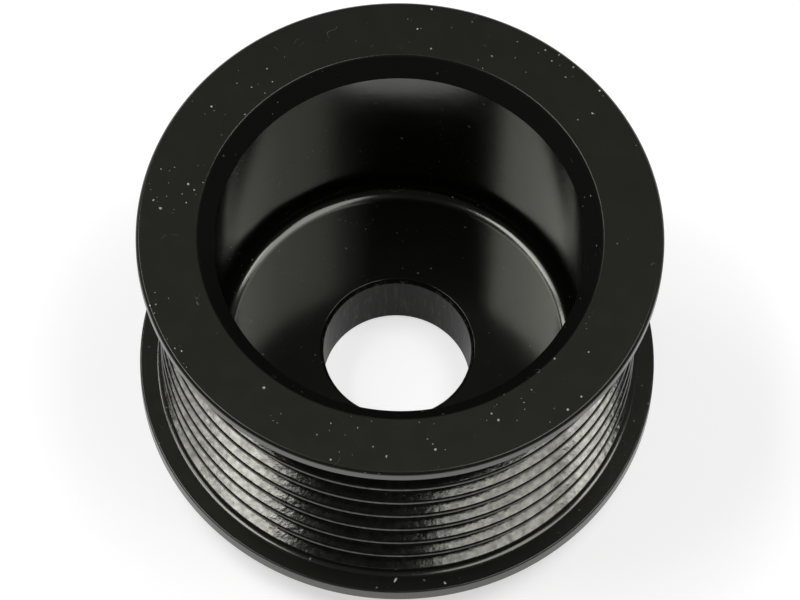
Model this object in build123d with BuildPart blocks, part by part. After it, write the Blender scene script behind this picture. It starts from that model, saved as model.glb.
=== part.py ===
from build123d import *
from math import radians, sqrt, tan
import os

# Alternator pulley for a ribbed belt, turned from one piece of steel bar.
# Millimetres, +Z towards the open front. The origin is the middle of the hub's rear face,
# which bears on the alternator's shaft spacer and is the face that the pulley stands on.

# Belt face: ribs and grooves of the standard ribbed belt
groove_count = 8
groove_pitch = 3.56
groove_angle = 40.0
groove_bottom_width = 0.6
rib_tip_width = 0.53
rib_tip_diameter = 54.5
flange_to_groove = 2.65

# Flanges that keep the belt on
flange_height = 2.45
rear_flange_thickness = 2.2
front_flange_thickness = 1.5
flange_edge_chamfer = 0.3

# Hub, with the bore that the shaft goes through
bore_diameter = 17.0
bore_chamfer = 0.4
hub_wall = 6.5
hub_projection = 4.4
hub_edge_chamfer = 0.5
web_thickness = 4.9

# Recess for the nut, open at the front
rim_wall = 3.0
recess_corner_radius = 2.0
mouth_chamfer = 2.0

# Radii, worked out from the sizes above
rib_tip = rib_tip_diameter / 2
groove_mouth_half = (groove_pitch - rib_tip_width) / 2
groove_bottom_half = groove_bottom_width / 2
groove_depth = (groove_mouth_half - groove_bottom_half) / tan(radians(groove_angle / 2))
groove_bottom = rib_tip - groove_depth
flange_rim = rib_tip + flange_height
bore = bore_diameter / 2
hub_rim = bore + hub_wall
recess = groove_bottom - rim_wall

# Flats that stand for the round corner of the recess: one level with its middle, one at each side
corner_flat = recess_corner_radius * (2 - sqrt(2))
corner_step = recess_corner_radius * (tan(radians(22.5)) - tan(radians(11.25)))

# Heights above the hub's rear face
nut_seat = hub_projection + web_thickness
rear_flange_top = hub_projection + rear_flange_thickness
belt_width = (groove_count - 1) * groove_pitch + 2 * flange_to_groove
belt_middle = rear_flange_top + belt_width / 2
front_flange_base = rear_flange_top + belt_width
front_face = front_flange_base + front_flange_thickness


def ring(part, radius, height):
    """The round edge of the part that has this radius and lies at this height."""
    rounds = part.edges().filter_by(GeomType.CIRCLE)
    level = rounds.filter_by(lambda edge: abs(edge.arc_center.Z - height) < 0.001)
    return level.filter_by(lambda edge: abs(edge.radius - radius) < 0.001)


# Half section of the bar as it is turned: hub, rear flange, drum and front flange
blank = [(0, 0), (hub_rim, 0), (hub_rim, hub_projection)]
blank += [(flange_rim, hub_projection), (flange_rim, rear_flange_top), (rib_tip, rear_flange_top)]
blank += [(rib_tip, front_flange_base), (flange_rim, front_flange_base)]
blank += [(flange_rim, front_face), (0, front_face)]

with BuildPart() as pulley:
    # Outside of the pulley, turned about the shaft's axis
    with BuildSketch(Plane.XZ):
        with BuildLine():
            Polyline(*blank, close=True)
        make_face()
    revolve(axis=Axis.Z)

    # Grooves cut into the drum, all with the same V tool
    with BuildSketch(Plane.XZ):
        with Locations((rib_tip, belt_middle)):
            with GridLocations(0, groove_pitch, 1, groove_count):
                Polygon(
                    (0, -groove_mouth_half),
                    (0, groove_mouth_half),
                    (-groove_depth, groove_bottom_half),
                    (-groove_depth, -groove_bottom_half),
                    align=None,
                )
    revolve(axis=Axis.Z, mode=Mode.SUBTRACT)

    # Bore through the hub and the wide recess above it
    with Locations((0, 0, front_face)):
        CounterBoreHole(bore, recess, front_face - nut_seat)

    # Corner of the recess, as three flats round an arc of its radius
    chamfer(ring(pulley, recess, nut_seat), corner_flat)
    chamfer(ring(pulley, recess, nut_seat + corner_flat), corner_step)
    chamfer(ring(pulley, recess - corner_flat, nut_seat), corner_step)

    # Worked edges
    chamfer(ring(pulley, recess, front_face), mouth_chamfer)
    chamfer(ring(pulley, flange_rim, front_face), flange_edge_chamfer)
    chamfer(ring(pulley, flange_rim, hub_projection), flange_edge_chamfer)
    chamfer(ring(pulley, hub_rim, 0), hub_edge_chamfer)
    chamfer(ring(pulley, bore, nut_seat), bore_chamfer)
    chamfer(ring(pulley, bore, 0), bore_chamfer)

pulley.part.label = "pulley"

os.makedirs("parts", exist_ok=True)
export_step(pulley.part, "parts/pulley.step")
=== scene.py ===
from math import pi, radians, sin, cos, tan

import bmesh
import bpy
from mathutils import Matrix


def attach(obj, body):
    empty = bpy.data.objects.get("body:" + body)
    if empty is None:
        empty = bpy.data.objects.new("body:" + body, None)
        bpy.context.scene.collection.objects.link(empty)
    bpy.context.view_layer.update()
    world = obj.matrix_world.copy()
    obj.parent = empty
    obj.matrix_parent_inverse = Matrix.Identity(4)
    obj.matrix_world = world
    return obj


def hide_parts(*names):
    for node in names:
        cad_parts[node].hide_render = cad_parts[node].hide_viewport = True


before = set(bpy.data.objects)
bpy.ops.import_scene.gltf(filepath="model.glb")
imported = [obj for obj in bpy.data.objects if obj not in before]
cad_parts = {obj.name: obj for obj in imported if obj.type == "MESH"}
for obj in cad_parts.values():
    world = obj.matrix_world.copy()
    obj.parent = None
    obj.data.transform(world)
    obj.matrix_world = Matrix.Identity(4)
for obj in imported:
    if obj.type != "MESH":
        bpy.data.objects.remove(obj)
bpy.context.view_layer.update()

scene = bpy.context.scene
scene.view_settings.view_transform = "Standard"
bpy.ops.object.select_all(action="DESELECT")

mm = 0.001

# Camera: far off with a long lens, looking steeply down into the open front of the pulley,
# and turned a little about its own axis.
view_elevation = radians(63.80)
view_roll = radians(1.43)
view_distance = 985.4 * mm
view_target = (0.17 * mm, 0.0, 21.8 * mm)
camera_place = (
    view_target[0],
    view_target[1] - view_distance * cos(view_elevation),
    view_target[2] + view_distance * sin(view_elevation),
)
bpy.ops.object.camera_add(location=camera_place)
camera = bpy.context.active_object
camera.name = "camera"
camera.rotation_mode = "ZYX"
camera.rotation_euler = (pi / 2 - view_elevation, 0.0, view_roll)
camera.data.sensor_width = 36.0
camera.data.lens = 389.1
camera.data.clip_start = 0.1
camera.data.clip_end = 20.0
scene.camera = camera

# Lighting: soft boxes hang about a metre above the table, three of them to the left and two to
# the right, with a gap between. They end short of the camera, so the side of the pulley that
# faces the camera is lit from above only. The rest of the room is dim.
soft_box_height = 1.02
soft_boxes = [
    # name, left, right, near and far edge in metres, and how bright it is
    ("soft_box_left_inner", -0.63, -0.33, -0.22, 0.30, 9.8),
    ("soft_box_left_outer", -0.88, -0.63, -0.12, 0.30, 4.9),
    ("soft_box_left_back", -0.80, -0.36, 0.38, 0.58, 9.0),
    ("soft_box_right_inner", 0.15, 0.60, -0.36, 0.30, 5.0),
    ("soft_box_right_outer", 0.60, 0.80, -0.05, 0.26, 9.5),
]
for box_name, left, right, near, far, level in soft_boxes:
    place = ((left + right) / 2, (near + far) / 2, soft_box_height)
    bpy.ops.object.light_add(type="AREA", location=place)
    soft_box = bpy.context.active_object
    soft_box.name = box_name
    soft_box.data.shape = "RECTANGLE"
    soft_box.data.size = right - left
    soft_box.data.size_y = far - near
    soft_box.data.energy = level * pi * (right - left) * (far - near)
    soft_box.visible_camera = False

room_level = 0.08
world = bpy.data.worlds.new("dim_room")
scene.world = world
world.use_nodes = True
world.node_tree.nodes["Background"].inputs["Color"].default_value = (1.0, 1.0, 1.0, 1.0)
world.node_tree.nodes["Background"].inputs["Strength"].default_value = room_level

# Table: a wide white sheet that the pulley stands on, with the pulley's soft shadow on it.
# It is shown a little whiter than it is lit, to the eye and in what the coat mirrors.
table_width = 30.0
sheet_white = (0.55, 0.55, 0.55, 1.0)
glow_level = 0.6
bpy.ops.mesh.primitive_plane_add(size=table_width, location=(0.0, 0.0, 0.0))
table = bpy.context.active_object
table.name = "table"
white_sheet = bpy.data.materials.new("white_sheet")
white_sheet.use_nodes = True
sheet_nodes = white_sheet.node_tree.nodes
sheet_links = white_sheet.node_tree.links
sheet_shader = sheet_nodes["Principled BSDF"]
sheet_shader.inputs["Base Color"].default_value = sheet_white
sheet_shader.inputs["Roughness"].default_value = 0.9
sheet_shader.inputs["Specular IOR Level"].default_value = 0.0
sheet_shader.inputs["Emission Color"].default_value = (1.0, 1.0, 1.0, 1.0)
ray_kind = sheet_nodes.new("ShaderNodeLightPath")
seen_or_mirrored = sheet_nodes.new("ShaderNodeMath")
seen_or_mirrored.operation = "MAXIMUM"
seen_or_through = sheet_nodes.new("ShaderNodeMath")
seen_or_through.operation = "MAXIMUM"
sheet_glow = sheet_nodes.new("ShaderNodeMath")
sheet_glow.operation = "MULTIPLY"
sheet_glow.inputs[1].default_value = glow_level
sheet_links.new(ray_kind.outputs["Is Camera Ray"], seen_or_mirrored.inputs[0])
sheet_links.new(ray_kind.outputs["Is Glossy Ray"], seen_or_mirrored.inputs[1])
sheet_links.new(seen_or_mirrored.outputs[0], seen_or_through.inputs[0])
sheet_links.new(ray_kind.outputs["Is Transmission Ray"], seen_or_through.inputs[1])
sheet_links.new(seen_or_through.outputs[0], sheet_glow.inputs[0])
sheet_links.new(sheet_glow.outputs[0], sheet_shader.inputs["Emission Strength"])
table.data.materials.append(white_sheet)

# Pulley: one piece turned from steel bar, with eight V grooves for the belt between two
# flanges, a hub with the shaft's bore, and a deep recess for the nut at the open front.
# It is made as it is on the lathe: half of its section is drawn, and turned about the bore.

# Radii, heights above the table and edge widths of the section, all in millimetres
bore = 8.5
bore_edge = 0.4
hub_rim = 15.0
hub_edge = 0.5
flange_back = 4.4
flange_top = 6.6
flange_rim = 29.7
flange_edge = 0.3
drum = 27.25
drum_wall = 3.0
flank_slope = tan(radians(20))
root_rise = 0.15
root_run = root_rise / flank_slope
first_groove = 9.25
groove_pitch = 3.56
groove_count = 8
groove_mouth_half = 1.515
groove_bottom_half = 0.3
groove_bottom = drum - (groove_mouth_half - groove_bottom_half) / flank_slope
front_flange_back = 36.82
front_face = 38.32
mouth = 22.9
recess = groove_bottom - drum_wall
mouth_foot = front_face - (mouth - recess)
recess_floor = 9.3

# Corners of the section as (radius, height), in the order of the drawing from the bore up,
# over the front face and down the outside; where the belt face meets a flange there is a
# slope like the flanks of the grooves
bore_ends = [(bore, bore_edge), (bore, recess_floor - bore_edge)]
bore_edge_front = (bore + bore_edge, recess_floor)
floor_corner = (recess, recess_floor)
mouth_corners = [(recess, mouth_foot), (mouth, front_face)]
front_rim = [(flange_rim - flange_edge, front_face), (flange_rim, front_face - flange_edge)]
front_flange_lip = (flange_rim, front_flange_back)
front_root = [(drum + root_run, front_flange_back), (drum, front_flange_back - root_rise)]
tip_corners = []
groove_corners = []
belt_face = []
for number in reversed(range(groove_count)):
    middle = first_groove + number * groove_pitch
    tip_pair = [(drum, middle + groove_mouth_half), (drum, middle - groove_mouth_half)]
    bottom_pair = [
        (groove_bottom, middle + groove_bottom_half),
        (groove_bottom, middle - groove_bottom_half),
    ]
    tip_corners += tip_pair
    groove_corners += bottom_pair
    belt_face += [tip_pair[0], *bottom_pair, tip_pair[1]]
rear_root = [(drum, flange_top + root_rise), (drum + root_run, flange_top)]
rear_flange_lip = (flange_rim, flange_top)
rear_rim = [(flange_rim, flange_back + flange_edge), (flange_rim - flange_edge, flange_back)]
hub_root = (hub_rim, flange_back)
hub_corners = [(hub_rim, hub_edge), (hub_rim - hub_edge, 0.0)]
bore_edge_rear = (bore + bore_edge, 0.0)
section = [
    *bore_ends, bore_edge_front, floor_corner, *mouth_corners, *front_rim, front_flange_lip,
    *front_root, *belt_face, *rear_root, rear_flange_lip, *rear_rim, hub_root, *hub_corners,
    bore_edge_rear,
]

# Points of the drawing that are nearer to each other than this are one
same_point = 0.002
start = (section[0][0] * mm, 0.0, section[0][1] * mm)
bpy.ops.object.select_all(action="DESELECT")
bpy.ops.mesh.primitive_plane_add(size=mm, location=start)
pulley = bpy.context.active_object
pulley.name = "turned_pulley"
bpy.ops.object.transform_apply(location=True, rotation=True, scale=True)
bpy.ops.object.mode_set(mode="EDIT")
bpy.ops.mesh.select_mode(type="VERT")
bpy.ops.mesh.select_all(action="SELECT")
bpy.ops.mesh.merge(type="CENTER")
for (radius, height), (next_radius, next_height) in zip(section, section[1:] + section[:1]):
    step = ((next_radius - radius) * mm, 0.0, (next_height - height) * mm)
    bpy.ops.mesh.extrude_region_move(TRANSFORM_OT_translate={"value": step})
bpy.ops.mesh.select_all(action="SELECT")
bpy.ops.mesh.remove_doubles(threshold=same_point * mm)

# Rounds on the corners: how far from its corner each arc begins, and in how many steps it goes
rounds = [
    (tip_corners[1:-1], 0.26, 5),
    ([tip_corners[0], tip_corners[-1]], 0.05, 3),
    (groove_corners, 0.3, 3),
    ([floor_corner], 2.0, 12),
    ([hub_root], 0.45, 8),
    (front_root + rear_root, 0.06, 3),
    (mouth_corners, 0.07, 3),
    (front_rim, 0.09, 3),
    ([front_flange_lip], 0.1, 3),
    ([rear_flange_lip], 0.2, 4),
    (rear_rim, 0.06, 3),
    (bore_ends, 0.1, 3),
    ([bore_edge_rear, bore_edge_front], 0.03, 3),
    (hub_corners, 0.1, 3),
]
for corners, width, segments in rounds:
    drawing = bmesh.from_edit_mesh(pulley.data)
    for point in drawing.verts:
        r, z = point.co.x / mm, point.co.z / mm
        point.select_set(
            any(abs(r - radius) + abs(z - height) < same_point for radius, height in corners)
        )
    drawing.select_flush_mode()
    bmesh.update_edit_mesh(pulley.data)
    bpy.ops.mesh.bevel(
        offset_type="OFFSET", offset=width * mm, segments=segments, affect="VERTICES"
    )

# Turned about the bore, with broad faces kept flat to the light
turn_steps = 360
sharpest_smooth = radians(25)
bpy.ops.mesh.select_all(action="SELECT")
bpy.ops.mesh.spin(steps=turn_steps, angle=2 * pi, center=(0.0, 0.0, 0.0), axis=(0.0, 0.0, 1.0))
bpy.ops.mesh.select_all(action="SELECT")
bpy.ops.mesh.remove_doubles(threshold=same_point * mm)
bpy.ops.mesh.normals_make_consistent(inside=False)
bpy.ops.object.mode_set(mode="OBJECT")
bpy.ops.object.shade_smooth_by_angle(angle=sharpest_smooth)
bpy.ops.object.modifier_add(type="WEIGHTED_NORMAL")
flat_faces_lead = pulley.modifiers[-1]
flat_faces_lead.mode = "FACE_AREA"
flat_faces_lead.weight = 100
flat_faces_lead.keep_sharp = True
bpy.ops.object.modifier_apply(modifier=flat_faces_lead.name)

black_coat = bpy.data.materials.new("black_coat")
black_coat.use_nodes = True
coat_nodes = black_coat.node_tree.nodes
coat_links = black_coat.node_tree.links
coat = coat_nodes["Principled BSDF"]


def node(kind, **settings):
    """A new node of the coat, with these properties set."""
    made = coat_nodes.new("ShaderNode" + kind)
    for key, value in settings.items():
        setattr(made, key, value)
    return made


def feed(socket, source):
    """Join an output to an input, or write a plain value in it."""
    if isinstance(source, bpy.types.NodeSocket):
        coat_links.new(source, socket)
    else:
        socket.default_value = source


def sums(operation, first, second=0.0, third=0.0):
    """One sum on two or three values or outputs."""
    made = node("Math", operation=operation)
    for socket, source in zip(made.inputs, (first, second, third)):
        feed(socket, source)
    return made.outputs[0]


def fade(value, start, end, low=0.0, high=1.0):
    """Low up to start, high from end on, and smooth between."""
    made = node("MapRange", interpolation_type="SMOOTHSTEP")
    feed(made.inputs["Value"], value)
    feed(made.inputs["From Min"], start)
    feed(made.inputs["From Max"], end)
    feed(made.inputs["To Min"], low)
    feed(made.inputs["To Max"], high)
    return made.outputs["Result"]


def beyond(measure, start, end):
    """0 up to start and 1 from end on, for a radius or a height; both are in millimetres."""
    return fade(measure, start * mm, end * mm)


def noise(vector, scale, detail=2.0, output="Fac"):
    """Smooth random values, about 0.3 to 0.7, in lumps of one over this scale."""
    made = node("TexNoise")
    feed(made.inputs["Vector"], vector)
    made.inputs["Scale"].default_value = scale
    made.inputs["Detail"].default_value = detail
    return made.outputs[output]


def vector_sums(operation, first, second, third=(0.0, 0.0, 0.0)):
    """One sum on two or three vectors."""
    made = node("VectorMath", operation=operation)
    for socket, source in zip(made.inputs, (first, second, third)):
        feed(socket, source)
    return made.outputs[0]


def length(vector):
    """How long a vector is."""
    made = node("VectorMath", operation="LENGTH")
    feed(made.inputs[0], vector)
    return made.outputs["Value"]


def bump(height, distance, strength=1.0, before=None):
    """Small relief on the coat, this high where the height is 1, on top of any before it."""
    made = node("Bump")
    made.inputs["Distance"].default_value = distance
    feed(made.inputs["Strength"], strength)
    feed(made.inputs["Height"], height)
    if before is not None:
        feed(made.inputs["Normal"], before)
    return made.outputs["Normal"]


def blend(amount, first, second):
    """The first colour, or where the amount is 1 the second."""
    made = node("Mix", data_type="RGBA")
    feed(made.inputs["Factor"], amount)
    feed(made.inputs[6], first)
    feed(made.inputs[7], second)
    return made.outputs[2]


coordinates = node("TexCoord").outputs["Object"]
axes = node("SeparateXYZ")
feed(axes.inputs[0], coordinates)
flat_place = node("CombineXYZ")
feed(flat_place.inputs[0], axes.outputs[0])
feed(flat_place.inputs[1], axes.outputs[1])
radius_out = length(flat_place.outputs[0])
height_out = axes.outputs[2]

# Where on the pulley: each of these is 1 on its own faces and fades to 0 at their edges.
# The front face, the rear side and the flanges are the turned faces, and the belt face ends
# short of the last land, the one next to the rear flange.
in_bore = beyond(radius_out, bore + bore_edge, bore)
on_front = beyond(height_out, front_face - 0.22, front_face - 0.07)
below_flange = beyond(height_out, flange_top - 0.05, flange_top - 0.15)
on_rear = sums("SUBTRACT", below_flange, in_bore)
on_flanges = beyond(radius_out, drum + 0.25, drum + 0.55)
turned_faces = sums("MAXIMUM", sums("MAXIMUM", on_front, on_rear), on_flanges)
elsewhere = sums("SUBTRACT", 1.0, turned_faces)
above_foot = beyond(height_out, mouth_foot - 0.13, mouth_foot + 0.07)
on_mouth = sums("MULTIPLY", above_foot, elsewhere)
outer_half = beyond(radius_out, groove_bottom - 0.91, groove_bottom - 0.51)
drum_outside = sums("MULTIPLY", outer_half, elsewhere)
last_land_top = first_groove - groove_mouth_half
below_grooves = beyond(height_out, last_land_top - 0.035, last_land_top - 0.185)
on_last_land = sums("MULTIPLY", drum_outside, below_grooves)
on_belt_face = sums("SUBTRACT", drum_outside, on_last_land)
inside_wall = beyond(radius_out, recess + 1.09, recess + 0.49)
outside_bore = beyond(radius_out, 14.0, 18.0)
in_recess = sums("MULTIPLY", sums("MULTIPLY", inside_wall, outside_bore), elsewhere)

# Gloss: smooth in the recess, satin on the turned faces and the mouth, nearly matt in the
# bore, cloudy all over, and in small patches on the belt face
smooth_coat = 0.14
turned_dullness = 0.12
bore_dullness = 0.24
cloud_dullness = 0.06
full_shine = 0.5
bore_loss = 0.455
front_loss = 0.12
mouth_loss = 0.3
patch_contrast = 1.0
patch_loss = 0.38
clouds = noise(coordinates, 400.0, 3.0)
patches = noise(coordinates, 1300.0, 2.0)
duller = sums("ADD", turned_faces, on_mouth)
roughness = sums("MULTIPLY_ADD", duller, turned_dullness, smooth_coat)
roughness = sums("MULTIPLY_ADD", in_bore, bore_dullness, roughness)
cloudy = sums("MULTIPLY_ADD", clouds, cloud_dullness, -cloud_dullness / 2)
roughness = sums("ADD", roughness, cloudy)
shine = sums("MULTIPLY_ADD", in_bore, -bore_loss, full_shine)
shine = sums("MULTIPLY_ADD", on_front, -front_loss, shine)
shine = sums("MULTIPLY_ADD", on_mouth, -mouth_loss, shine)
patchy = sums("MULTIPLY_ADD", patches, patch_contrast, -patch_loss)
shine = sums("ADD", shine, sums("MULTIPLY", on_belt_face, patchy))

# Relief of the coat: a fine grain all over, and pebbles most of a millimetre wide, strong on
# the belt face and faint in the recess
grain_height = 0.0006 * mm
pebble_height = 0.022 * mm
pebbles_in_recess = 0.14
grain = bump(noise(coordinates, 4000.0), grain_height)
pebbly = sums("MULTIPLY_ADD", in_recess, pebbles_in_recess, on_belt_face)
pebbles = bump(patches, pebble_height, pebbly, grain)

# Streaks along the bore, from the tool that sized it, as relief, and on some a paler grey that
# is a painted reflection
streak_height = 0.035 * mm
along_the_bore = (1.0, 1.0, 0.09)
streaks = noise(vector_sums("MULTIPLY", coordinates, along_the_bore), 2400.0, 3.0)
relief = bump(streaks, streak_height, in_bore, pebbles)
# Where the bore streaks are painted pale, as a painted reflection
painted_streak_reflection = sums("MULTIPLY", fade(streaks, 0.5, 0.66), fade(clouds, 0.42, 0.6, 0.15, 1.0))

# Dust: pale specks a tenth to a third of a millimetre wide, crumbled at their edges, few,
# and thicker in some places. The three values of a speck's own colour set its size, whether
# it is kept, and how pale it is.
crumble = 0.16 * mm
smallest_speck = 0.06
speck_spread = 0.14
faintest_dust = 0.12
dust_spread = 0.9
mostly_small = 5.0
crumbs = noise(coordinates, 6000.0, 1.0, "Color")
crumbled = vector_sums("MULTIPLY_ADD", crumbs, (crumble, crumble, crumble), coordinates)
specks = node("TexVoronoi")
feed(specks.inputs["Vector"], crumbled)
specks.inputs["Scale"].default_value = 1300.0
speck_kind = node("SeparateColor")
feed(speck_kind.inputs[0], specks.outputs["Color"])
speck_draw = sums("POWER", speck_kind.outputs[0], mostly_small)
speck_size = sums("MULTIPLY_ADD", speck_draw, speck_spread, smallest_speck)
on_speck = sums("LESS_THAN", specks.outputs["Distance"], speck_size)
dusty = noise(coordinates, 110.0, 1.0)
kept_speck = sums("GREATER_THAN", speck_kind.outputs[1], fade(dusty, 0.42, 0.62, 0.92, 0.1))
pale_draw = sums("POWER", speck_kind.outputs[2], mostly_small)
speck_strength = sums("MULTIPLY_ADD", pale_draw, dust_spread, faintest_dust)
dust = sums("MULTIPLY", sums("MULTIPLY", on_speck, kept_speck), speck_strength)

# Lint: a few pale hairs, half a millimetre to a millimetre long, along the lines where a
# slow noise crosses its middle
hair_half_width = 0.0018
hair_strength = 0.12
hairs_above = 0.73
hair_path = noise(coordinates, 300.0, 1.0)
off_hair = sums("ABSOLUTE", sums("SUBTRACT", hair_path, 0.5))
on_hair = sums("LESS_THAN", off_hair, hair_half_width)
hair_places = noise(coordinates, 520.0, 0.0)
on_hair = sums("MULTIPLY", on_hair, sums("GREATER_THAN", hair_places, hairs_above))
dust = sums("MAXIMUM", dust, sums("MULTIPLY", on_hair, hair_strength))

# Two chips in the coat, down to the steel, on the rear flange's upper face at the side that
# faces the camera: the place, the turn in degrees, and half the width and length of each
chips = [(0.45, -28.13, -27, 0.12, 0.31), (6.11, -28.35, 50, 0.10, 0.17)]
chip_reach_up = 0.3
ragged = sums("MULTIPLY_ADD", noise(coordinates, 6000.0), 0.6, 0.7)
chipped = 0.0
for across, along, turn, half_width, half_length in chips:
    chip_shape = node("Mapping", vector_type="TEXTURE")
    feed(chip_shape.inputs["Vector"], coordinates)
    chip_shape.inputs["Location"].default_value = (across * mm, along * mm, flange_top * mm)
    chip_shape.inputs["Rotation"].default_value = (0.0, 0.0, radians(turn))
    chip_shape.inputs["Scale"].default_value = (
        half_width * mm, half_length * mm, chip_reach_up * mm
    )
    past_edge = sums("SUBTRACT", length(chip_shape.outputs[0]), ragged)
    chipped = sums("MAXIMUM", chipped, fade(past_edge, 0.05, -0.05))

# Colours: the coat is black, a little paler on the turned faces; the mouth is paler as painted
# light and the last land paler still as a painted sheen; bore streaks painted pale as a
# painted reflection, then dust, lint and bare steel lie over it
coat_black = (0.0030, 0.0030, 0.0026, 1.0)
turned_black = (0.0080, 0.0081, 0.0064, 1.0)
# The last land's black is paled as a painted sheen
sheen_painted_black = (0.016, 0.016, 0.014, 1.0)
streak_reflection_grey = (0.05, 0.05, 0.048, 1.0)
dust_colour = (0.45, 0.44, 0.40, 1.0)
bare_steel = (0.60, 0.60, 0.57, 1.0)
# The mouth's pallor is painted light, standing in for light that falls on it from the front
mouth_painted_light = 0.35
dust_roughness = 0.8
# Paler tone: the turned faces' own paler coat, plus painted light on the mouth
tone_and_painted_light = sums("MULTIPLY_ADD", on_mouth, mouth_painted_light, turned_faces)
colour = blend(tone_and_painted_light, coat_black, turned_black)
# Painted sheen: the last land is paled where it mirrors only dark surroundings
colour = blend(on_last_land, colour, sheen_painted_black)
# Pale grey painted on some bore streaks: a painted reflection
colour = blend(sums("MULTIPLY", in_bore, painted_streak_reflection), colour, streak_reflection_grey)
colour = blend(dust, colour, dust_colour)
colour = blend(chipped, colour, bare_steel)
feed(coat.inputs["Base Color"], colour)
dusty_roughness = sums("MULTIPLY", dust, dust_roughness)
feed(coat.inputs["Roughness"], sums("MAXIMUM", roughness, dusty_roughness))
feed(coat.inputs["Specular IOR Level"], shine)
feed(coat.inputs["Normal"], relief)
coat.inputs["Specular Tint"].default_value = (1.0, 1.0, 0.9, 1.0)
coat.inputs["IOR"].default_value = 1.55
pulley.data.materials.append(black_coat)

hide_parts("pulley")
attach(pulley, "root")
